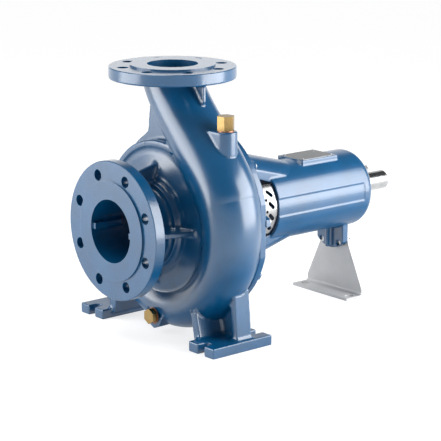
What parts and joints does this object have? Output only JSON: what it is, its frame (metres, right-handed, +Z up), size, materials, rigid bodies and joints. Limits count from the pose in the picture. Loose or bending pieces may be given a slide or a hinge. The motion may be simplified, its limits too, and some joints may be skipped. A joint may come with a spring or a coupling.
{
  "type": "end suction centrifugal pump",
  "caption": "End-suction centrifugal pump with volute casing, top discharge flange, closed impeller, shaft seal, bearing bracket with guarded lantern, support foot and bare shaft end.",
  "frame": {"origin": "on the shaft axis, in the plane of the suction flange's sealing face", "axes": "+X along the shaft from the suction flange to the drive end, +Z up along the discharge nozzle, +Y to the left seen from the drive end"},
  "size_m": [0.595, 0.3544, 0.43],
  "materials": {
    "blue_paint": "semi-gloss industrial enamel on grey cast iron",
    "polished_steel": "turned and ground steel",
    "stainless_sheet": "bright perforated stainless sheet",
    "zinc_steel": "zinc-plated fasteners",
    "foot_paint": "light grey coated sheet steel",
    "plug_brass": "machined brass",
    "bronze": "cast and turned bronze",
    "copper": "soft copper sealing rings",
    "black_rubber": "moulded black rubber",
    "gasket_fibre": "pressed fibre sheet",
    "seal_ceramic": "lapped ceramic",
    "seal_carbon": "lapped carbon",
    "plate_aluminium": "bare satin plate"
  },
  "bodies": {
    "frame": {"volute_casing": "blue_paint", "wear_ring": "bronze", "casing_cover": "blue_paint", "casing_gasket": "gasket_fibre", "bearing_bracket": "blue_paint", "casing_studs": "zinc_steel", "casing_nuts": "blue_paint", "vent_plug": "plug_brass", "vent_plug_seal": "copper", "drain_plug": "plug_brass", "drain_plug_seal": "copper", "seal_seat": "seal_ceramic", "seal_seat_cup": "black_rubber", "pump_side_outer_ring": "polished_steel", "drive_side_outer_ring": "polished_steel", "pump_side_bearing_cover": "blue_paint", "drive_side_bearing_cover": "blue_paint", "pump_side_cover_screws": "zinc_steel", "drive_side_cover_screws": "zinc_steel", "pump_side_lip_seal": "black_rubber", "drive_side_lip_seal": "black_rubber", "right_shaft_guard": "stainless_sheet", "left_shaft_guard": "stainless_sheet", "guard_screws": "zinc_steel", "nameplate": "plate_aluminium", "nameplate_rivets": "zinc_steel", "support_foot": "foot_paint", "support_foot_screws": "zinc_steel"},
    "rotor": {"shaft": "polished_steel", "impeller": "bronze", "impeller_key": "polished_steel", "impeller_washer": "zinc_steel", "impeller_nut": "zinc_steel", "seal_spring": "polished_steel", "seal_bellows": "black_rubber", "seal_face_ring": "seal_carbon", "shaft_slinger": "black_rubber", "pump_side_inner_ring": "polished_steel", "drive_side_inner_ring": "polished_steel", "shaft_circlip": "polished_steel"},
    "pump_side_ball_set": {"pump_side_balls": "polished_steel", "pump_side_cage": "plug_brass"},
    "drive_side_ball_set": {"drive_side_balls": "polished_steel", "drive_side_cage": "plug_brass"}
  },
  "joints": [
    {"name": "rotor_spin", "type": "hinge", "parent": "frame", "child": "rotor", "pos_m": [0.331, 0, 0], "axis": [-1, 0, 0], "continuous": true},
    {"name": "pump_side_cage_spin", "type": "hinge", "parent": "frame", "child": "pump_side_ball_set", "pos_m": [0.3415, 0, 0], "axis": [-1, 0, 0], "continuous": true},
    {"name": "drive_side_cage_spin", "type": "hinge", "parent": "frame", "child": "drive_side_ball_set", "pos_m": [0.4915, 0, 0], "axis": [-1, 0, 0], "continuous": true}
  ],
  "couplings": [
    {"joint": "pump_side_cage_spin", "follows": "rotor_spin", "ratio": 0.3835},
    {"joint": "drive_side_cage_spin", "follows": "rotor_spin", "ratio": 0.3835}
  ]
}
